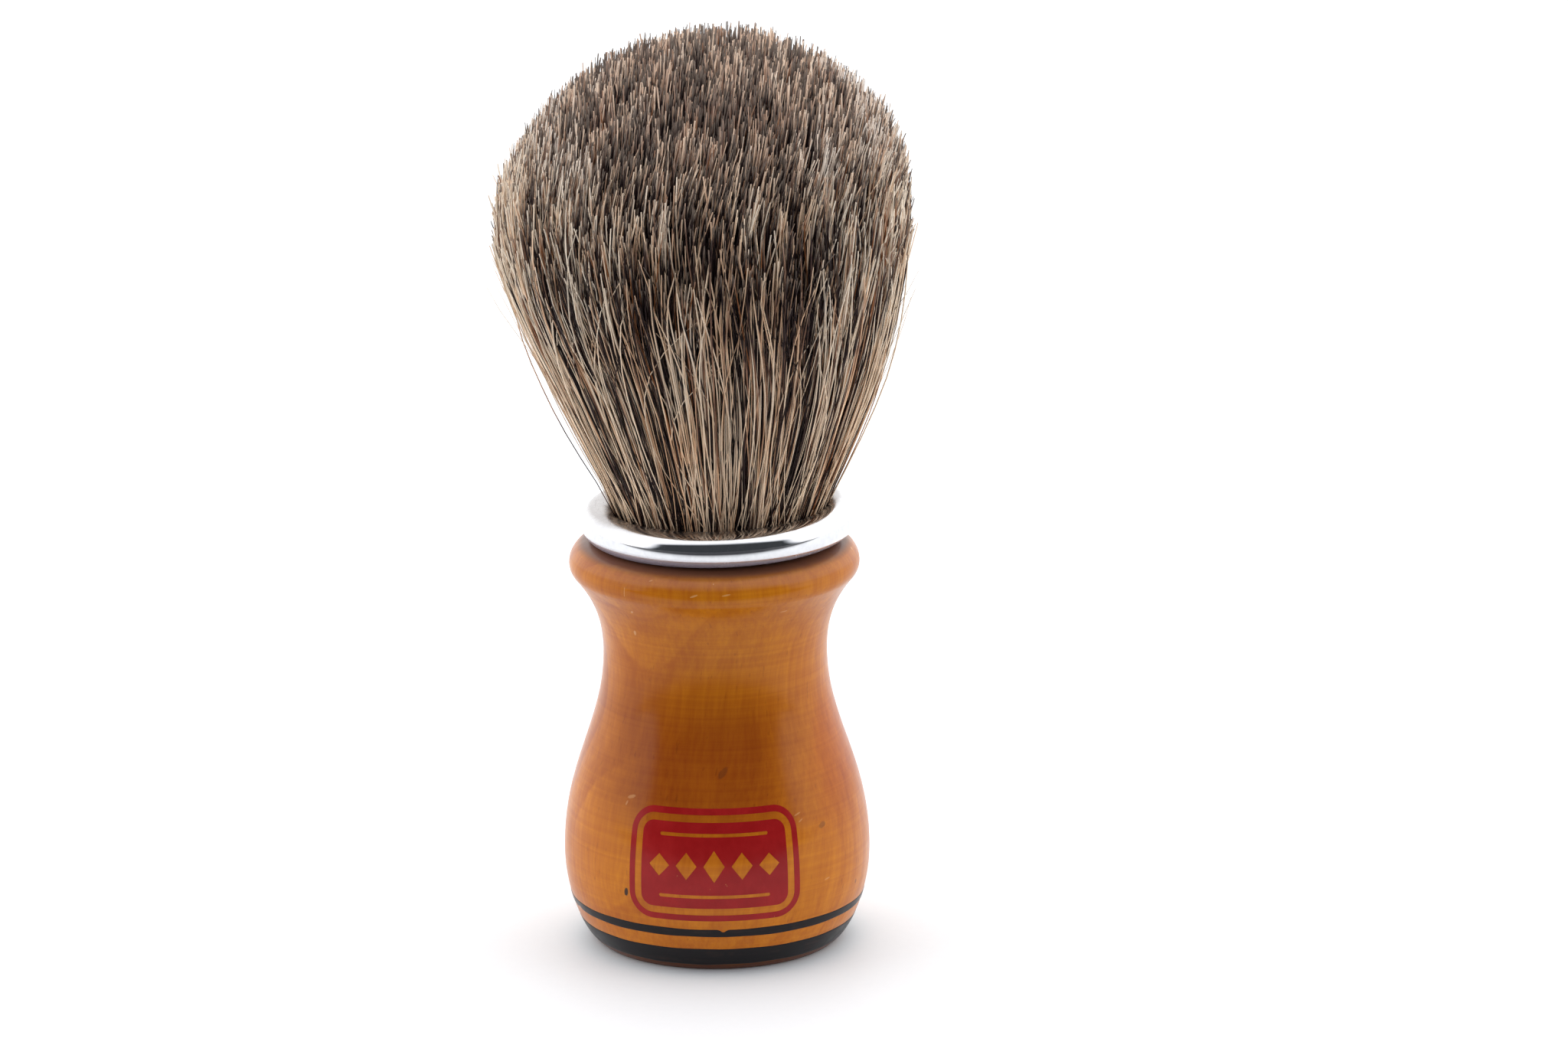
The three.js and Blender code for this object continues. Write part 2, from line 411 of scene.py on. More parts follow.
def new_material(name):
    """A material and its two standing nodes."""
    material = bpy.data.materials.new(name)
    material.use_nodes = True
    nodes = material.node_tree.nodes
    return material, material.node_tree, nodes["Principled BSDF"]


def fill(tree, node, inputs):
    """Gives a node's sockets numbers, colours or other nodes' outputs."""
    for socket, value in inputs.items():
        if isinstance(value, bpy.types.NodeSocket):
            tree.links.new(value, node.inputs[socket])
        else:
            node.inputs[socket].default_value = value


def add(tree, kind, inputs=None, **settings):
    """Adds a node with its settings, and fills its sockets."""
    made = tree.nodes.new(kind)
    for name, value in settings.items():
        setattr(made, name, value)
    fill(tree, made, inputs or {})
    return made


def maths(tree, operation, first, second=0.0, third=0.0, clamp=False):
    inputs = {0: first, 1: second, 2: third}
    return add(tree, "ShaderNodeMath", inputs, operation=operation, use_clamp=clamp).outputs[0]


def product(tree, first, second):
    return maths(tree, "MULTIPLY", first, second)


def vector_maths(tree, operation, first, second=(0, 0, 0), output=0):
    return add(tree, "ShaderNodeVectorMath", {0: first, 1: second}, operation=operation).outputs[output]


def ease(tree, value, low, high, to_low=0.0, to_high=1.0):
    """Goes smoothly from to_low to to_high as value goes from low to high."""
    inputs = {"Value": value, "From Min": low, "From Max": high, "To Min": to_low, "To Max": to_high}
    return add(tree, "ShaderNodeMapRange", inputs, interpolation_type="SMOOTHSTEP").outputs[0]


def mix(tree, share, first, second, blend="MIX"):
    """Mixes two colours. A colour is an output or an (r, g, b)."""
    colours = [c if isinstance(c, bpy.types.NodeSocket) else (*c, 1) for c in (first, second)]
    inputs = {0: share, 6: colours[0], 7: colours[1]}
    return add(tree, "ShaderNodeMix", inputs, data_type="RGBA", blend_type=blend).outputs[2]


def noise(tree, place, scale, detail=3.0, roughness=0.5, stretch=None):
    """Noise at a scale in features a metre, on a place that may be stretched first."""
    if stretch:
        place = vector_maths(tree, "MULTIPLY", place, stretch)
    inputs = {"Vector": place, "Scale": scale, "Detail": detail, "Roughness": roughness}
    return add(tree, "ShaderNodeTexNoise", inputs).outputs["Fac"]


def ramp(tree, value, stops):
    """A colour ramp. stops is a list of (place, (r, g, b))."""
    made = add(tree, "ShaderNodeValToRGB", {0: value})
    elements = made.color_ramp.elements
    for _ in range(len(stops) - 2):
        elements.new(0.5)
    for element, (place, colour) in zip(elements, stops):
        element.position = place
        element.color = (*colour, 1)
    return made.outputs[0]


def bump(tree, height, distance):
    """A bump of a height from 0 to 1 times distance, in metres."""
    return add(tree, "ShaderNodeBump", {"Height": height, "Distance": distance}).outputs[0]


def place_of(tree):
    return add(tree, "ShaderNodeTexCoord").outputs["Object"]


def parts_of(tree, vector):
    """A vector's x, y and z."""
    return add(tree, "ShaderNodeSeparateXYZ", {0: vector}).outputs


# ---------------------------------------------------------------- wood

# Growth rings are centred behind the handle, so that the front left shows arches of flat grain
PITH = (0.027, 0.031)
RING_SPACING = 0.0027
WOOD_LIGHT = (0.575, 0.184, 0.005)
WOOD_DARK = (0.393, 0.096, 0.003)
WOOD_PALE = (0.70, 0.40, 0.17)
# FOOT_DARKENING is what the very foot of the wood is darkened to.
FOOT_DARKENING = (0.05, 0.014, 0.010)
# RIM_SHADE is painted shade for the groove under the collar's rim.
RIM_SHADE = (0.105, 0.047, 0.037)
# LIP_REFLECTION is a painted reflection of the light above, on the lip's roll.
LIP_REFLECTION = (0.40, 0.24, 0.25)

# Wear: (azimuth, height, length, width, slant from upright in degrees, strength)
PALE_MARKS = (
    (-38.0, 45.4, 5.6, 0.08, 3, 0.42),
    (-42.0, 39.9, 0.9, 0.28, 12, 0.55),
    (-38.6, 42.9, 0.8, 0.22, 40, 0.5),
    (-26.7, 47.4, 1.4, 0.12, 60, 0.45),
    (-8.1, 46.1, 1.1, 0.16, 70, 0.5),
    (-0.5, 47.4, 1.3, 0.09, 4, 0.6),
    (4.5, 46.2, 1.2, 0.14, 80, 0.45),
    (30.6, 43.2, 1.3, 0.12, 82, 0.5),
    (58.0, 42.0, 1.6, 0.08, 75, 0.4),
    (82.0, 47.6, 1.0, 0.22, 30, 0.6),
    (-37.1, 20.9, 1.3, 0.30, 70, 0.3),
    (-39.0, 20.1, 0.9, 0.18, 20, 0.3),
    (33.5, 18.9, 1.2, 0.14, 70, 0.3),
    (34.5, 18.1, 0.8, 0.14, 60, 0.28),
    (45.3, 10.5, 1.0, 0.14, 80, 0.35),
    (128.0, 22.0, 4.2, 0.08, 35, 0.4),
    (171.0, 13.0, 2.6, 0.10, 62, 0.45),
    (-112.0, 30.0, 3.4, 0.08, 12, 0.4),
    (-150.0, 9.0, 1.4, 0.16, 75, 0.45),
)
DARK_MARKS = (
    (-36.4, 9.7, 1.15, 0.42, 8, 0.93),
    (2.8, 24.3, 2.2, 0.55, 40, 0.30),
    (44.7, 17.0, 1.3, 0.5, 75, 0.35),
    (65.0, 8.5, 0.6, 0.3, 0, 0.45),
    (-95.0, 26.0, 1.0, 0.3, 20, 0.5),
    (150.0, 33.0, 0.8, 0.35, 60, 0.5),
)

# Scuffs on the collar's rim, written the same way
RIM_MARKS = (
    (62.0, 51.2, 3.2, 0.10, 92, 0.45),
    (66.0, 50.5, 2.2, 0.08, 86, 0.4),
    (72.0, 51.9, 1.6, 0.16, 95, 0.35),
    (57.0, 51.9, 1.2, 0.10, 84, 0.35),
    (-30.0, 50.2, 0.7, 0.12, 80, 0.3),
    (140.0, 51.0, 2.6, 0.10, 88, 0.4),
    (-120.0, 51.4, 1.8, 0.10, 96, 0.35),
)


def marks(tree, place, listed, radius_at=wall_radius):
    """A mask of short soft strokes on a turned surface, the strongest of all that are listed."""
    wobble = noise(tree, place, 2600, 2)
    total = None
    for azimuth, height, length, width, slant, strength in listed:
        a, s = math.radians(azimuth), math.radians(slant)
        radius = float(radius_at(height))
        centre = Vector((radius * math.sin(a), -radius * math.cos(a), height)) * MM
        sideways = Vector((math.cos(a), math.sin(a), 0))
        stroke = Vector((0, 0, 1)) * math.cos(s) + sideways * math.sin(s)
        offset = vector_maths(tree, "SUBTRACT", place, tuple(centre))
        along = vector_maths(tree, "DOT_PRODUCT", offset, tuple(stroke), 1)
        crossed = vector_maths(tree, "CROSS_PRODUCT", offset, tuple(stroke))
        away = vector_maths(tree, "LENGTH", crossed, output=1)
        along = maths(tree, "POWER", product(tree, along, 2 / (length * MM)), 2.0)
        away = maths(tree, "POWER", product(tree, away, 1.3 / (width * MM)), 2.0)
        apart = maths(tree, "MULTIPLY_ADD", wobble, -0.9, maths(tree, "ADD", along, away))
        mask = ease(tree, apart, 0.0, 0.6, strength, 0.0)
        total = mask if total is None else maths(tree, "MAXIMUM", total, mask)
    return total


def lathe_lines(tree, place):
    """Very fine rings left by the turning tool."""
    return noise(tree, place, 2300, 3, 0.65, (0.012, 0.012, 1))


def wood_colour(tree, place):
    """Fine straight fibres, soft growth lines and slow drifts of tone."""
    bent = add(tree, "ShaderNodeTexNoise", {"Vector": place, "Scale": 34.0, "Detail": 2.0}).outputs["Color"]
    bent = vector_maths(tree, "SUBTRACT", bent, (0.5, 0.5, 0.5))
    bent = vector_maths(tree, "MULTIPLY", bent, (0.006, 0.006, 0.02))
    from_pith = vector_maths(tree, "ADD", vector_maths(tree, "SUBTRACT", place, (*PITH, 0)), bent)
    tilted = add(tree, "ShaderNodeMapping", {"Vector": from_pith, "Rotation": (0.10, -0.06, 0)}).outputs[0]
    flat = vector_maths(tree, "MULTIPLY", tilted, (1, 1, 0))
    radius = vector_maths(tree, "LENGTH", flat, output=1)
    ring = maths(tree, "FRACT", maths(tree, "DIVIDE", radius, RING_SPACING))
    rise = ease(tree, ring, 0.25, 0.86)
    fall = ease(tree, ring, 0.88, 0.97, 1.0, 0.0)
    late = product(tree, rise, fall)
    fade = ease(tree, noise(tree, place, 55, 2), 0.35, 0.62, 0.25, 1.0)
    sideways = parts_of(tree, place)[0]
    fade = product(tree, fade, ease(tree, sideways, -0.003, 0.007, 1.0, 0.4))
    late = product(tree, late, fade)

    fibre = noise(tree, tilted, 1900, 5, 0.62, (1, 1, 0.045))
    streak = noise(tree, tilted, 330, 3, 0.55, (1, 1, 0.03))
    cloud = noise(tree, place, 70, 2, 0.45)
    tone = maths(tree, "MULTIPLY_ADD", fibre, 0.42, product(tree, streak, 0.30))
    tone = maths(tree, "MULTIPLY_ADD", cloud, 0.30, tone)
    tone = maths(tree, "MULTIPLY_ADD", late, -0.15, tone)
    tone = maths(tree, "MULTIPLY_ADD", maths(tree, "SUBTRACT", lathe_lines(tree, place), 0.5), 0.30, tone)
    middle = tuple((a + b) / 2 for a, b in zip(WOOD_LIGHT, WOOD_DARK))
    colour = ramp(tree, tone, [(0.32, WOOD_DARK), (0.5, middle), (0.66, WOOD_LIGHT)])

    pore = noise(tree, tilted, 2600, 2, 0.5, (1, 1, 0.16))
    pore = ease(tree, pore, 0.66, 0.74, 0.0, 0.35)
    return mix(tree, pore, colour, tuple(c * 0.55 for c in WOOD_DARK)), fibre


def upright_patch(tree, across, height, middle, sides, rises, falls, strength):
    """A soft patch of a strength.

    It is full within the nearer of the distances sides from its middle, and between the heights where it
    rises and falls.
    """
    aside = maths(tree, "ABSOLUTE", maths(tree, "SUBTRACT", across, middle))
    patch = product(tree, ease(tree, aside, *sides, strength, 0.0), ease(tree, height, *rises))
    return product(tree, patch, ease(tree, height, *falls, 1.0, 0.0))


def darkened(tree, place, colour):
    """Painted shade on the front of the belly and a darker streak in the wood, a painted reflection on the
    lip's roll, and painted shade in the groove under the rim.
    """
    x, y, z = parts_of(tree, place)
    drift = maths(tree, "MULTIPLY_ADD", noise(tree, place, 90, 3), 0.008, x)
    # Painted shade: the front of the belly is darkened, facing the dark room in front of the brush.
    front_shade = upright_patch(
        tree, drift, z, 0.0020, sides=(0.005, 0.016), rises=(0.013, 0.022), falls=(0.027, 0.038), strength=0.9
    )
    front_shade = product(tree, front_shade, maths(tree, "LESS_THAN", y, 0.0))
    colour = mix(tree, front_shade, colour, (0.52, 0.34, 0.25), "MULTIPLY")
    streak = upright_patch(tree, drift, z, 0.0178, (0.001, 0.0036), (0.014, 0.022), (0.028, 0.035), 0.6)
    colour = mix(tree, streak, colour, (0.80, 0.52, 0.20), "MULTIPLY")
    # Painted reflection: a pale band on the lip's roll, for the lacquer's reflection of the light above.
    lip_reflection = product(tree, ease(tree, z, 0.0465, 0.0470), ease(tree, z, 0.0474, 0.048, 0.12, 0.0))
    colour = mix(tree, lip_reflection, colour, LIP_REFLECTION)
    # Painted shade in the groove under the collar's rim.
    return mix(tree, ease(tree, z, 0.0474, 0.0483, 0.0, 0.85), colour, RIM_SHADE)


def lacquered_wood():
    material, tree, shader = new_material("lacquered_wood")
    place = place_of(tree)
    colour, fibre = wood_colour(tree, place)
    colour = darkened(tree, place, colour)
    # Darker at the very foot, below the wide band.
    foot = ease(tree, parts_of(tree, place)[2], 0.0007, 0.0012, 0.85, 0.0)
    colour = mix(tree, foot, colour, FOOT_DARKENING)
    colour = mix(tree, marks(tree, place, PALE_MARKS), colour, WOOD_PALE)
    colour = mix(tree, marks(tree, place, DARK_MARKS), colour, (0.02, 0.012, 0.01))
    dents = noise(tree, place, 150, 2, 0.4)
    surface = maths(tree, "MULTIPLY_ADD", dents, 0.5, product(tree, lathe_lines(tree, place), 0.08))
    normal = bump(tree, maths(tree, "MULTIPLY_ADD", fibre, 0.03, surface), 0.0001)
    sockets = {
        "Base Color": colour,
        "Roughness": ease(tree, noise(tree, place, 260, 3, 0.6), 0.3, 0.7, 0.30, 0.42),
        "Normal": normal,
        "Coat Normal": normal,
        "Specular IOR Level": 0.05,
        "Coat Weight": 0.42,
        "Coat Roughness": 0.13,
    }
    fill(tree, shader, sockets)
    return material


# ---------------------------------------------------------------- paint and ink


def band_paint():
    """Black paint under lacquer, brushed round, thin enough in places for the wood to warm it."""
    material, tree, shader = new_material("black_band_paint")
    place = place_of(tree)
    streak = noise(tree, place, 1400, 4, 0.6, (0.05, 0.05, 1))
    patch = noise(tree, place, 420, 3)
    thin = product(tree, ease(tree, streak, 0.45, 0.75), ease(tree, patch, 0.45, 0.75))
    sockets = {
        "Base Color": mix(tree, thin, (0.011, 0.009, 0.010), (0.045, 0.024, 0.018)),
        "Roughness": ease(tree, patch, 0.3, 0.7, 0.28, 0.45),
        "Normal": bump(tree, streak, 0.00001),
        "Specular IOR Level": 0.05,
        "Coat Weight": 0.25,
        "Coat Roughness": 0.14,
    }
    fill(tree, shader, sockets)
    return material


def badge_ink():
    """Red ink with pinholes and a slightly uneven print."""
    material, tree, shader = new_material("red_badge_ink")
    place = place_of(tree)
    patch = noise(tree, place, 330, 4, 0.6)
    grain = noise(tree, place, 2400, 3, 0.6, (1, 1, 0.35))
    speck = noise(tree, place, 1250, 2, 0.5)
    colour = mix(tree, ease(tree, patch, 0.3, 0.7), (0.270, 0.0045, 0.0055), (0.325, 0.0085, 0.0090))
    colour = mix(tree, ease(tree, grain, 0.35, 0.7, 0.0, 0.35), colour, (0.245, 0.004, 0.004))
    sockets = {
        "Base Color": mix(tree, ease(tree, speck, 0.735, 0.775, 0.0, 0.75), colour, (0.50, 0.17, 0.06)),
        "Roughness": ease(tree, patch, 0.3, 0.7, 0.30, 0.42),
        "Normal": bump(tree, grain, 0.000012),
        "Specular IOR Level": 0.05,
        "Coat Weight": 0.4,
        "Coat Roughness": 0.14,
    }
    fill(tree, shader, sockets)
    return material


# ---------------------------------------------------------------- metal, hair and hidden materials


def chrome():
    """Bright plating, a little wavy, with rubs and smudges and dull inside; under the rim, painted shade
    makes it dull, purple-grey and less metallic.
    """
    material, tree, shader = new_material("chrome_plating")
    place = place_of(tree)
    smudge = noise(tree, place, 300, 4, 0.6)
    cloud = noise(tree, place, 1300, 3, 0.6)
    flat = vector_maths(tree, "MULTIPLY", place, (1, 1, 0))
    inward = maths(tree, "MULTIPLY_ADD", smudge, 0.0008, vector_maths(tree, "LENGTH", flat, output=1))
    dull = ease(tree, inward, 0.0148, 0.0157, 1.0, 0.0)
    height = maths(tree, "MULTIPLY_ADD", smudge, 0.0002, parts_of(tree, place)[2])
    # Painted shade under the rim: the underside is turned dull, purple-grey and less metallic, standing for
    # the shaded wood that it faces.
    under = ease(tree, height, 0.0494, 0.0503, 1.0, 0.0)

    colour = mix(tree, ease(tree, cloud, 0.3, 0.8), (0.80, 0.80, 0.82), (0.71, 0.71, 0.74))
    colour = mix(tree, marks(tree, place, RIM_MARKS, rim_radius), colour, (0.16, 0.15, 0.16))
    colour = mix(tree, product(tree, dull, 0.6), colour, (0.26, 0.225, 0.205))
    colour = mix(tree, product(tree, under, 0.9), colour, (0.30, 0.25, 0.31))
    roughness = ease(tree, smudge, 0.40, 0.72, 0.035, 0.12)
    roughness = maths(tree, "MULTIPLY_ADD", maths(tree, "ADD", dull, under), 0.20, roughness)
    rub = ease(tree, noise(tree, place, 2800, 2, 0.6, (1, 0.12, 1)), 0.66, 0.72, 0.0, 0.10)
    wave = maths(tree, "MULTIPLY_ADD", cloud, 0.012, noise(tree, place, 110, 2, 0.4))
    sockets = {
        "Base Color": colour,
        "Roughness": maths(tree, "ADD", roughness, rub),
        "Normal": bump(tree, wave, 0.00007),
        "Metallic": maths(tree, "MULTIPLY_ADD", under, -0.8, 1.0),
    }
    fill(tree, shader, sockets)
    return material


# The colour of a hair for its tone. The last is a rust-coloured hair, apart from the rest
RUST = 0.985
HAIR_TONES = (
    (0.00, (0.012, 0.006, 0.008)),
    (0.42, (0.027, 0.014, 0.015)),
    (0.50, (0.070, 0.037, 0.030)),
    (0.60, (0.335, 0.188, 0.124)),
    (0.70, (0.720, 0.455, 0.288)),
    (0.82, (0.980, 0.715, 0.490)),
    (RUST, (1.000, 0.865, 0.700)),
    (1.00, (0.290, 0.110, 0.040)),
)


def shifted_tone(tree, tone, place):
    """Moves the tone of each spot of hair by patches, towards the crown and the root, and lightens it towards
    the sides as painted light.
    """
    x, _, height = parts_of(tree, place)
    patch = maths(tree, "SUBTRACT", noise(tree, place, 165, 3, 0.55, (1, 1, 0.3)), 0.575)
    shifted = maths(tree, "MULTIPLY_ADD", patch, 1.10, tone, clamp=True)
    # Painted light: hair is made paler towards the left and right sides, where the side light would fall
    # through it.
    beside = ease(tree, maths(tree, "ABSOLUTE", x), 0.009, 0.025, -0.02, 0.43)
    crown = ease(tree, height, 0.088, 0.102, 0.0, -0.10)
    root = ease(tree, height, 0.056, 0.084, 0.60, 0.0)
    root = product(tree, root, maths(tree, "SUBTRACT", tone, 0.645))
    for change in (crown, beside, root):
        shifted = maths(tree, "ADD", shifted, change)
    shifted = maths(tree, "MINIMUM", shifted, RUST)
    return maths(tree, "MAXIMUM", shifted, maths(tree, "GREATER_THAN", tone, RUST))


def cut_hair():
    """Banded hair with its own tones, golden near the root, cooler at the crown and paler where it is cut."""
    material, tree, shader = new_material("cut_hair")
    tone = add(tree, "ShaderNodeAttribute", attribute_name="tone").outputs["Fac"]
    from_tip = add(tree, "ShaderNodeAttribute", attribute_name="from_tip").outputs["Fac"]
    place = place_of(tree)
    height = parts_of(tree, place)[2]
    colour = ramp(tree, shifted_tone(tree, tone, place), HAIR_TONES)
    golden = ease(tree, height, 0.054, 0.092, 0.7, 0.0)
    colour = mix(tree, golden, colour, (1.0, 0.83, 0.68), "MULTIPLY")
    cooler = ease(tree, height, 0.090, 0.102)
    colour = mix(tree, cooler, colour, (0.97, 1.0, 1.10), "MULTIPLY")
    tip = ease(tree, from_tip, 0.3, 1.8, 0.22, 0.0)
    sockets = {
        "Base Color": mix(tree, tip, colour, (0.78, 0.62, 0.49)),
        "Roughness": 0.45,
        "Specular IOR Level": 0.3,
        "Specular Tint": (1.0, 0.82, 0.73, 1),
    }
    fill(tree, shader, sockets)
    return material


def core_shade():
    """Painted shade: a dark fill for the shaded inside of the hair, where single hairs can't be told apart.
    """
    material, tree, shader = new_material("hair_core_shade")
    streak = noise(tree, place_of(tree), 1500, 4, 0.6, (1, 1, 0.05))
    colour = mix(tree, ease(tree, streak, 0.35, 0.7), (0.010, 0.007, 0.006), (0.05, 0.036, 0.028))
    fill(tree, shader, {"Base Color": colour, "Normal": bump(tree, streak, 0.0003), "Roughness": 0.8})
    return material


def cast_resin():
    material, tree, shader = new_material("cast_resin")
    place = place_of(tree)
    cloud = ease(tree, noise(tree, place, 260, 4, 0.6), 0.3, 0.7)
    sockets = {
        "Base Color": mix(tree, cloud, (0.42, 0.24, 0.09), (0.56, 0.36, 0.16)),
        "Roughness": maths(tree, "MULTIPLY_ADD", cloud, 0.14, 0.2),
        "Normal": bump(tree, noise(tree, place, 700, 3), 0.00005),
        "Coat Weight": 0.4,
    }
    fill(tree, shader, sockets)
    return material


def cotton_cord():
    """Cotton with its twist showing as slanting ridges round the winding."""
    material, tree, shader = new_material("cotton_cord")
    place = place_of(tree)
    x, y, z = parts_of(tree, place)
    azimuth = maths(tree, "ARCTAN2", x, y)
    twist = maths(tree, "MULTIPLY_ADD", azimuth, 60.0, product(tree, z, 9000.0))
    ridge = maths(tree, "MULTIPLY_ADD", maths(tree, "SINE", twist), 0.5, 0.5)
    fuzzy = product(tree, ridge, noise(tree, place, 3800, 3, 0.6))
    sockets = {
        "Base Color": mix(tree, fuzzy, (0.42, 0.36, 0.26), (0.74, 0.69, 0.57)),
        "Normal": bump(tree, ridge, 0.00008),
        "Roughness": 0.9,
        "Sheen Weight": 0.3,
    }
    fill(tree, shader, sockets)
    return material


def set_glue():
    material, tree, shader = new_material("set_glue")
    place = place_of(tree)
    cloud = noise(tree, place, 420, 4, 0.6)
    share = ease(tree, cloud, 0.3, 0.7)
    sockets = {
        "Base Color": mix(tree, share, (0.50, 0.38, 0.17), (0.64, 0.53, 0.30)),
        "Roughness": maths(tree, "MULTIPLY_ADD", share, 0.2, 0.3),
        "Normal": bump(tree, cloud, 0.0001),
    }
    fill(tree, shader, sockets)
    return material


# ---------------------------------------------------------------- pieces


def finished(piece, material, slot_name, *nodes):
    """Gives a piece its material, lets it ride on the body and hides the CAD nodes that it stands for;
    slot_name is not used.
    """
    piece.data.materials.append(material)
    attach(piece, "root")
    if nodes:
        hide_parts(*nodes)
    return piece


def make_handle():
    piece = turned("handle_turned", handle_profile(), HANDLE_SEGMENTS)
    return finished(piece, lacquered_wood(), "lacquered_wood", "handle")


def band_edge(azimuth, phase):
    """A hand-held brush's wander along the edge of a band, in millimetres."""
    return 0.030 * np.sin(5 * azimuth + phase) + 0.018 * np.sin(17 * azimuth + 2 * phase)


def chip(azimuth, centre, width, depth):
    """A notch worn into an edge."""
    apart = (azimuth - math.radians(centre) + math.pi) % TURN - math.pi
    return depth * np.exp(-((apart / math.radians(width)) ** 2))


def make_band(name, low, high, phase, material):
    """A thin ring of paint on the handle's outside, thinning to nothing at its edges."""
    across = np.array([0.0, 0.04, 0.12, 0.3, 0.5, 0.7, 0.88, 0.96, 1.0])
    proud = np.array([0.002, 0.75, 1, 1, 1, 1, 1, 0.75, 0.002]) * PAINT_THICKNESS
    outside = np.c_[across, proud]
    inside = np.c_[across[::-1], np.full(len(across), -PAINT_THICKNESS)]
    section = np.vstack([outside, inside])

    def on_wall(share, offset, azimuth):
        bottom = low + band_edge(azimuth, phase)
        top = high + band_edge(azimuth, phase + 1.9)
        if name == "band_thin":
            top = top - chip(azimuth, 2.0, 1.3, 0.34) - chip(azimuth, 118.0, 2.2, 0.25)
            bottom = bottom + chip(azimuth, -71.0, 1.6, 0.22)
        height = bottom + share * (top - bottom)
        return wall_radius(height) + offset, height

    piece = turned(name, section, BAND_SEGMENTS, closed=True, adjust=on_wall, sharp=None)
    return finished(piece, material, "lacquered_wood")


def badge_distance(x, y, half_width, half_height, corner):
    """How far a point lies outside a rounded rectangle, negative inside."""
    dx = np.abs(x) - (half_width - corner)
    dy = np.abs(y) - (half_height - corner)
    outside = np.hypot(np.maximum(dx, 0), np.maximum(dy, 0))
    return outside + np.minimum(np.maximum(dx, dy), 0) - corner


def with_steps(loop, longest):
    """A closed loop with its long straight stretches divided."""
    points = []
    for a, b in zip(loop, np.roll(loop, -1, 0)):
        count = max(1, math.ceil(np.linalg.norm(b - a) / longest))
        points.extend(a + (b - a) * i / count for i in range(count))
    return np.array(points)


def rounded_loop(half_width, half_height, corner, steps=14):
    """The outline of a rounded rectangle, anticlockwise."""
    loop = []
    for turn, (sx, sy) in enumerate(((1, 1), (-1, 1), (-1, -1), (1, -1))):
        centre = (sx * (half_width - corner), sy * (half_height - corner))
        loop.append(arc(centre, corner, corner, 90 * turn, 90 * turn + 90, steps))
    return with_steps(np.vstack(loop), OUTLINE_STEP)


def diamond_loop(centre, half_width, half_height):
    x, y = centre
    corners = np.array([(x + half_width, y), (x, y + half_height), (x - half_width, y), (x, y - half_height)])
    return with_steps(corners, OUTLINE_STEP)


def badge_design():
    """Outline loops and a test for ink: a ruled border, and a panel with a row of diamonds left out."""
    half = np.array((BADGE_WIDTH, BADGE_HEIGHT)) / 2
    inset = np.array((0, BADGE_LINE, BADGE_LINE + BADGE_GAP))
    frames = [(*(half - d), max(BADGE_CORNER - d, 0.3)) for d in inset]
    steps = [i - (BADGE_DIAMONDS - 1) / 2 for i in range(BADGE_DIAMONDS)]
    middles = [(DIAMOND_PITCH * step, 0.0) for step in steps]
    sizes = [(DIAMOND_HALF[0], DIAMOND_HALF[1] - DIAMOND_SHRINK * abs(step)) for step in steps]
    rules = [((0, side * RULE_ASIDE), RULE_HALF) for side in (1, -1)]
    loops = [rounded_loop(*f) for f in frames]
    loops += [diamond_loop(m, *s) for m, s in zip(middles, sizes)]
    loops += [rounded_loop(*size, RULE_CORNER, 4) + np.array(centre) for centre, size in rules]

    def inked(x, y):
        border = badge_distance(x, y, *frames[0]) < 0 < badge_distance(x, y, *frames[1])
        panel = badge_distance(x, y, *frames[2]) < 0
        for (cx, cy), (w, h) in zip(middles, sizes):
            panel = panel and abs(x - cx) / w + abs(y - cy) / h > 1
        for (cx, cy), (w, h) in rules:
            panel = panel and badge_distance(x - cx, y - cy, w, h, RULE_CORNER) > 0
        return border or panel

    return loops, inked


def cut_flat(loops, inked, half):
    """The inked part of the flat badge, as points and faces. half is half of the badge's size."""
    points, edges = [], []
    for loop in loops:
        loop = loop[np.linalg.norm(loop - np.roll(loop, 1, 0), axis=1) > 1e-6]
        first = len(points)
        points.extend(loop.tolist())
        edges.extend((first + i, first + (i + 1) % len(loop)) for i in range(len(loop)))
    for x in np.arange(-half[0] + 0.5, half[0], 0.6):
        points.extend((float(x), float(y)) for y in np.arange(-half[1] + 0.5, half[1], 0.6))
    found = delaunay_2d_cdt([Vector(p) for p in points], edges, [], 0, 1e-5)
    flat = np.array([tuple(v) for v in found[0]])
    faces = [f for f in found[2] if inked(*flat[list(f)].mean(0))]
    used = sorted({v for f in faces for v in f})
    number = {v: i for i, v in enumerate(used)}
    return flat[used], [[number[v] for v in f] for f in faces]


def make_badge(material):
    """The printed badge, cut out flat and wrapped on the belly as a skin of ink."""
    half = np.array((BADGE_WIDTH, BADGE_HEIGHT)) / 2
    flat, faces = cut_flat(*badge_design(), half)
    height = BADGE_CENTRE + flat[:, 1]
    azimuth = (flat[:, 0] + BADGE_ASIDE) / BELLY_RADIUS
    radius = wall_radius(height) + INK_THICKNESS
    wrapped = np.c_[radius * np.sin(azimuth), -radius * np.cos(azimuth), height]
    uv = [tuple((flat[v] + half) / (2 * half)) for f in faces for v in f]
    piece = mesh_object("badge", wrapped, faces, uv)
    skin = piece.modifiers.new("ink_thickness", "SOLIDIFY")
    skin.thickness = INK_THICKNESS * 1.6 * MM
    skin.offset = -1
    crisp = piece.modifiers.new("crisp_edges", "EDGE_SPLIT")
    crisp.split_angle = math.radians(40)
    return finished(piece, material, "lacquered_wood")


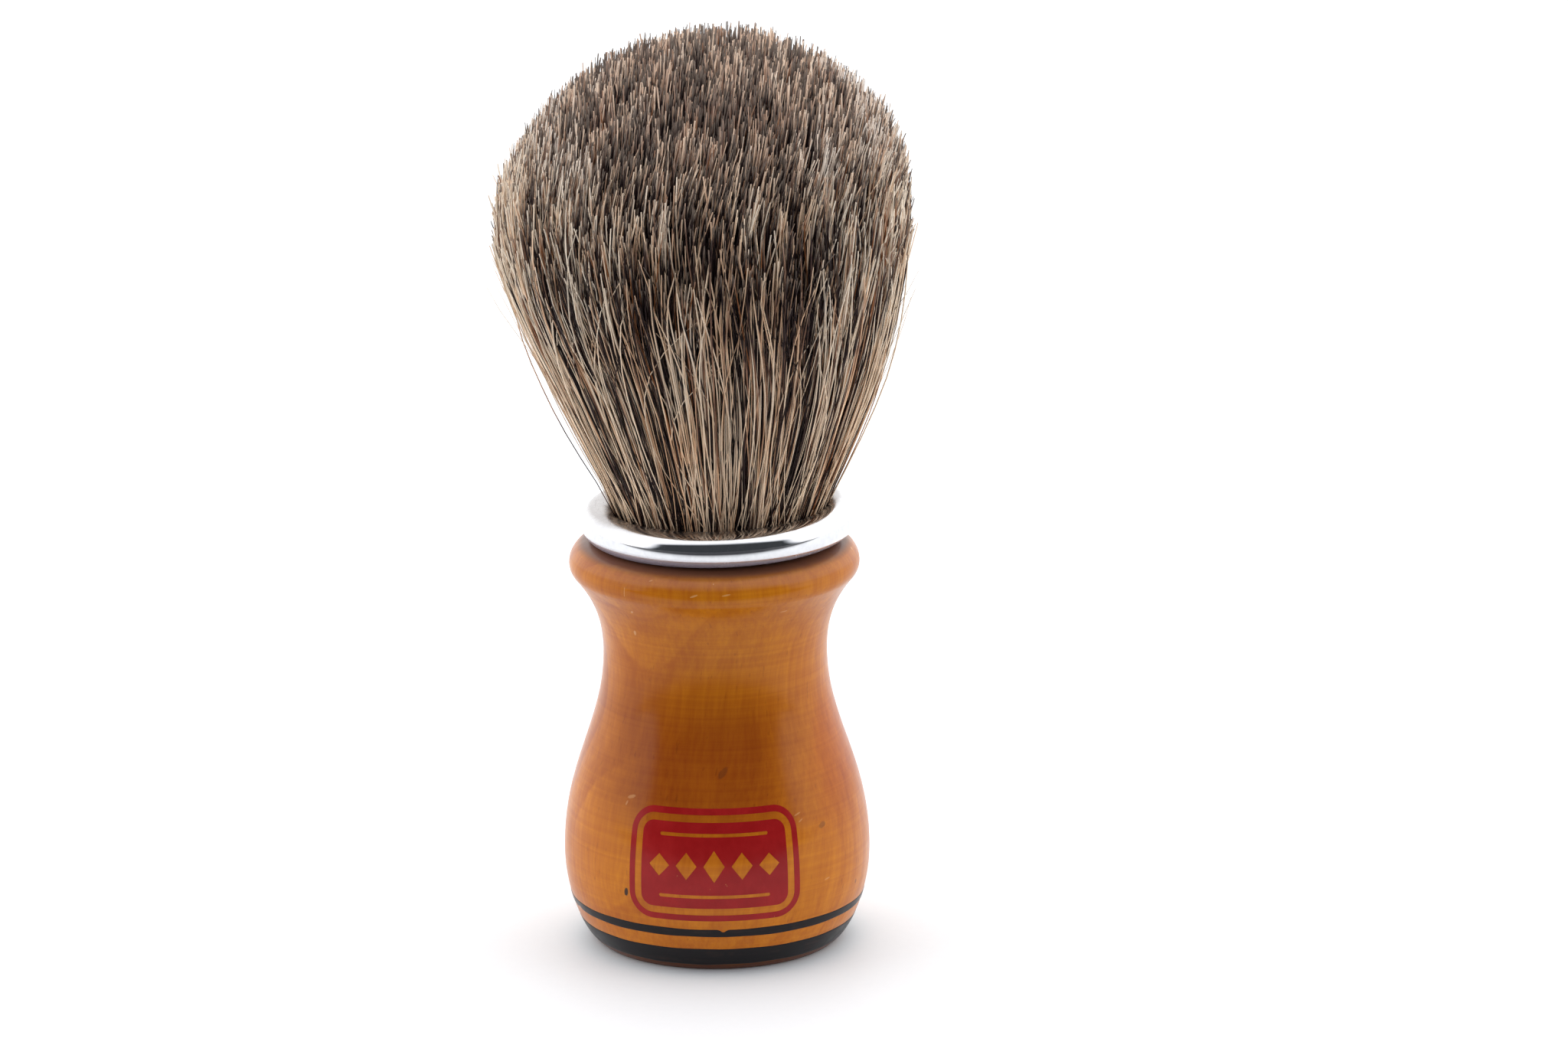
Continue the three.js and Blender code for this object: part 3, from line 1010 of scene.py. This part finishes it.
def make_collar():
    piece = turned("collar_chromed", collar_profile(), COLLAR_SEGMENTS, closed=True, sharp=60)
    pivot = Vector((0, 0, RIM_CENTRE[1] * MM))
    aside = Matrix.Translation((RIM_SHIFT * MM, 0, 0))
    tilt = Matrix.Translation(pivot) @ Matrix.Rotation(RIM_TILT, 4, "Y") @ Matrix.Translation(-pivot)
    piece.data.transform(aside @ tilt)
    return finished(piece, chrome(), "chrome", "ferrule")


def make_core(material):
    """The dense heart of the knot, well inside the cut ends."""
    height = np.linspace(HAIR_BOTTOM, HAIR_TOP - 7.5, 60)
    radius = np.minimum(0.80 * fan_radius(height), 0.88 * outline_radius(height + 7.0))
    radius[-1] = 0
    profile = joined((0, HAIR_BOTTOM), np.c_[radius, height])
    piece = turned("hair_core", profile, 96)
    return finished(piece, material, "hair", "hair_bundle")


# ---------------------------------------------------------------- hair


def disc(rng, count, inner=0.0, outer=1.0):
    """Even random places in a ring of the unit disc."""
    share = np.sqrt(rng.uniform(inner**2, outer**2, count))
    azimuth = rng.uniform(0, TURN, count)
    return np.c_[share * np.cos(azimuth), share * np.sin(azimuth)]


def tip_height(share):
    """Where a hair that starts at this share of the radius is cut by the knot's rounded outline."""
    height = np.linspace(82, HAIR_TOP, 600)
    meets = outline_radius(height) / fan_radius(height)
    return np.interp(share, meets[::-1], height[::-1])


class Locks:
    """Small tufts that neighbouring hairs gather into, each with its own length, drift and tone."""

    def __init__(self, rng):
        self.place = disc(rng, LOCKS)
        self.length = self.waves(rng) - rng.exponential(0.7, LOCKS)
        self.drift = rng.normal(0, 0.030, (LOCKS, 2))
        self.tone = rng.uniform(-1, 1, LOCKS)

    def waves(self, rng):
        """Slow rises and hollows in the cut surface."""
        total = np.zeros(LOCKS)
        for _ in range(7):
            direction = rng.normal(0, 5.0, 2)
            total += 0.12 * np.sin(self.place @ direction + rng.uniform(0, TURN))
        return total

    def nearest(self, place):
        found = []
        for part in np.array_split(place, max(1, len(place) // 2000)):
            apart = ((part[:, None] - self.place[None]) ** 2).sum(-1)
            found.append(apart.argmin(1))
        return np.concatenate(found)


def held_in(places, spill):
    """Lets only a share of what strays out of the unit disc stay out, and nothing past FARTHEST."""
    size = np.linalg.norm(places, axis=-1, keepdims=True)
    held = np.minimum(1 + spill * (size - 1), FARTHEST)
    return places * np.where(size > 1, held / np.maximum(size, 0.1), 1)


def cut_heights(rng, aim):
    """The height of each hair's cut end: near the knot's rounded outline, with some hairs short of it."""
    count = len(aim)
    tip = tip_height(np.minimum(np.linalg.norm(aim, axis=1), 1.0)) + rng.normal(0, 0.3, count)
    tip = tip - rng.exponential(SHORTER, count)
    return tip - np.where(rng.uniform(size=count) < 0.10, rng.exponential(3.0, count), 0.0)


def swung(rng, path, height, risen, stray, bow):
    """Adds slow waves where the hair is free of the collar, and a swing aside half way up."""
    count = len(path)
    phase = rng.uniform(0, TURN, (count, 2))[:, None]
    wave = np.sin(height[:, :, None] / rng.uniform(3.5, 8.0, (count, 1, 1)) + phase)
    free = np.clip((height - 52.5) / 9.0, 0, 1)[:, :, None]
    path = path + 0.0085 * stray * wave * free
    return path + bow * rng.normal(0, 1, (count, 1, 2)) * np.sin(np.pi * risen)


def grow(rng, locks, place, points, reach, stray=1.0, clump=0.20, spill=0.32, bow=0.045, extra=0.6):
    """Centre lines of hairs that start at places in the unit disc of the knot.

    points is how many points a line has, and reach how much of each hair's end is made, in millimetres.
    stray is how much hairs wander, clump how much they gather in locks, spill the share of a hair's
    straying that is let out past the others, bow how far hairs swing aside half way up, and extra how
    much longer they are, in millimetres. Gives centres, distance from tip and lock.
    """
    lock = locks.nearest(place)
    loose = stray * np.where(rng.uniform(size=(len(place), 1)) < 0.22, 0.105, 0.024)
    aim = place * (1 - clump) + locks.place[lock] * clump + locks.drift[lock]
    aim = held_in(aim + loose * rng.normal(0, 1, place.shape), spill)
    tip = cut_heights(rng, aim) + locks.length[lock] + extra
    start = np.maximum(tip - reach, HAIR_BOTTOM + 1.0)
    t = np.linspace(0, 1, points)[None, :] ** 0.85
    height = start[:, None] + (tip - start)[:, None] * t
    risen = np.clip((height - FAN_START) / (tip - FAN_START)[:, None], 0, 1)[:, :, None]
    path = place[:, None] + (aim - place)[:, None] * risen**1.3
    path = held_in(swung(rng, path, height, risen, stray, bow), spill)
    centres = np.concatenate([path * fan_radius(height)[:, :, None], height[:, :, None]], -1)
    centres[:, :, 0] += np.interp(height, *LEAN)
    return centres, tip[:, None] - height, lock


def bend_tips(rng, centres, chance, size):
    """Turns the last point of a few hairs aside, as bent and broken ends."""
    bent = rng.uniform(size=len(centres)) < chance
    aside = rng.normal(0, size, (len(centres), 3))
    aside[:, 2] = -np.abs(aside[:, 2]) * 0.5
    centres[bent, -1] += aside[bent]
    return centres


def thickness(rng, from_tip, thin, thick):
    """Radius along each hair: fine at the root, fullest some way below a blunt end."""
    full = rng.uniform(thin, thick, (len(from_tip), 1))
    taper = 0.74 + 0.26 * np.exp(-(((from_tip - 9.0) / 16.0) ** 2))
    blunt = 0.72 + 0.28 * np.clip(from_tip / 1.6, 0, 1)
    return full * taper * blunt


def tones(rng, locks, lock, spread=0.42):
    """One tone from 0 to 1 for each hair, partly shared by its lock. A few are rust, a few cream."""
    tone = np.clip(rng.beta(0.42, 0.55, len(lock)) + spread * 0.5 * locks.tone[lock], 0.0, RUST)
    chance = rng.uniform(size=len(lock))
    return np.select([chance < 0.018, chance > 0.91], [1.0, 0.97], tone)


def coarser(tone):
    """How much coarser pale hairs are than dark ones."""
    return (0.88 + 0.34 * tone)[:, None]


def make_hairs(name, material, centres, radii, tone, from_tip):
    """Makes hairs as several pieces, each small enough to be kept whole when it is exported."""
    faces_each = (radii.shape[1] - 1) * 6 + 2
    pieces = math.ceil(len(radii) * faces_each / PIECE_FACES)
    for i in range(pieces):
        part = slice(i, None, pieces)
        piece = tubes(f"{name}_{i + 1}", centres[part], radii[part], tone[part], from_tip[part])
        finished(piece, material, "hair", "hair_bundle")


def make_layer(
    rng, locks, material, name, count, ring, widths,
    points=11, reach=70.0, bent=(0.0, 0.0), spread=0.42, paler=0.0, **growing,
):
    """One layer of hair.

    ring is the part of the knot's disc where it is rooted, widths its thinnest and thickest radius and
    bent the chance and the size of a bent end. spread is how much of the tone locks share, and paler
    lightens the whole layer. The rest goes to grow().
    """
    place = disc(rng, count, *ring)
    centres, from_tip, lock = grow(rng, locks, place, points, reach, **growing)
    centres = bend_tips(rng, centres, *bent)
    tone = tones(rng, locks, lock, spread)
    if paler:
        tone = np.clip(tone + paler, 0, 0.98)
    radii = thickness(rng, from_tip, *widths) * coarser(tone)
    make_hairs(name, material, centres, radii, tone, from_tip)


def make_hair():
    rng = np.random.default_rng(SEED)
    locks = Locks(rng)
    material = cut_hair()
    for name, layer in HAIR_LAYERS.items():
        make_layer(rng, locks, material, name, **layer)


# ---------------------------------------------------------------- studio


def make_camera():
    data = bpy.data.cameras.new("camera")
    data.lens = CAMERA_LENS
    data.sensor_width = 36
    data.clip_end = 50
    camera = bpy.data.objects.new("camera", data)
    camera.matrix_world = (
        Matrix.Translation(CAMERA_PLACE)
        @ Matrix.Rotation(-CAMERA_YAW, 4, "Z")
        @ Matrix.Rotation(math.pi / 2 - CAMERA_PITCH, 4, "X")
        @ Matrix.Rotation(CAMERA_ROLL, 4, "Z")
    )
    bpy.context.scene.collection.objects.link(camera)
    bpy.context.scene.camera = camera


def make_floor():
    mesh = bpy.data.meshes.new("floor")
    s = FLOOR_SIZE
    mesh.from_pydata([(-s, -s, 0), (s, -s, 0), (s, s, 0), (-s, s, 0)], [], [(0, 1, 2, 3)])
    floor = bpy.data.objects.new("floor", mesh)
    bpy.context.scene.collection.objects.link(floor)
    material, tree, shader = new_material("pale_floor")
    place = place_of(tree)
    paper = mix(tree, noise(tree, place, 900, 3), (0.797, 0.808, 0.822), (0.822, 0.833, 0.844))
    forward = parts_of(tree, place)[1]
    unlit = ease(tree, forward, *FLOOR_FRONT, 0.0, 1.0)
    seen = add(tree, "ShaderNodeLightPath").outputs["Is Camera Ray"]
    unlit = product(tree, unlit, maths(tree, "SUBTRACT", 1.0, seen))
    fill(tree, shader, {"Base Color": mix(tree, unlit, paper, (0.03, 0.03, 0.035)), "Roughness": 0.6})
    mesh.materials.append(material)


def room_opening(tree, direction, edge):
    """A mask of the opening in the paper: in front of the brush, from below up to the paper's edge."""
    x, y, z = parts_of(tree, direction)
    up = maths(tree, "ARCTAN2", z, product(tree, y, -1.0))
    up = product(tree, up, 180 / math.pi)
    over = maths(tree, "SUBTRACT", up, edge)
    dark = product(tree, ease(tree, up, -50.0, -40.0), ease(tree, over, -9.0, 8.0, 1.0, 0.0))
    width = maths(tree, "MULTIPLY_ADD", up, -0.0032, 0.945)
    beside = maths(tree, "SUBTRACT", maths(tree, "ABSOLUTE", maths(tree, "SUBTRACT", x, 0.02)), width)
    return product(tree, dark, ease(tree, beside, -0.10, 0.04, 1.0, 0.0))


def make_studio():
    """White paper all round, and the dark room that it leaves open in front of the brush and above."""
    world = bpy.data.worlds.new("studio")
    bpy.context.scene.world = world
    world.use_nodes = True
    tree = world.node_tree
    background = tree.nodes["Background"]
    rays = add(tree, "ShaderNodeLightPath").outputs
    mirrored = maths(tree, "MAXIMUM", rays["Is Glossy Ray"], rays["Is Singular Ray"])
    paper, room, edge = (
        maths(tree, "MULTIPLY_ADD", mirrored, for_mirrored - for_diffuse, for_diffuse)
        for for_diffuse, for_mirrored in (PAPER_STRENGTH, ROOM_STRENGTH, PAPER_EDGE)
    )
    dark = room_opening(tree, add(tree, "ShaderNodeTexCoord").outputs["Generated"], edge)
    strength = maths(tree, "MULTIPLY_ADD", dark, maths(tree, "SUBTRACT", room, paper), paper)
    behind = product(tree, rays["Is Camera Ray"], BEHIND_STRENGTH)
    tint = mix(tree, dark, (1.0, 1.0, 1.0), (0.86, 0.92, 1.0))
    fill(tree, background, {"Strength": maths(tree, "MAXIMUM", strength, behind), "Color": tint})
    bpy.context.scene.view_settings.view_transform = "Standard"


def finish_hidden_nodes():
    for node, material in (
        ("knot_plug", cast_resin()),
        ("binding_cord", cotton_cord()),
        ("setting_adhesive", set_glue()),
    ):
        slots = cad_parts[node].data.materials
        slots.clear()
        slots.append(material)


make_camera()
make_floor()
make_studio()
make_handle()
black = band_paint()
for number, (band_name, (band_low, band_high)) in enumerate(BANDS.items()):
    make_band(band_name, band_low, band_high, 2.3 * number, black)
make_badge(badge_ink())
make_collar()
make_core(core_shade())
make_hair()
finish_hidden_nodes()
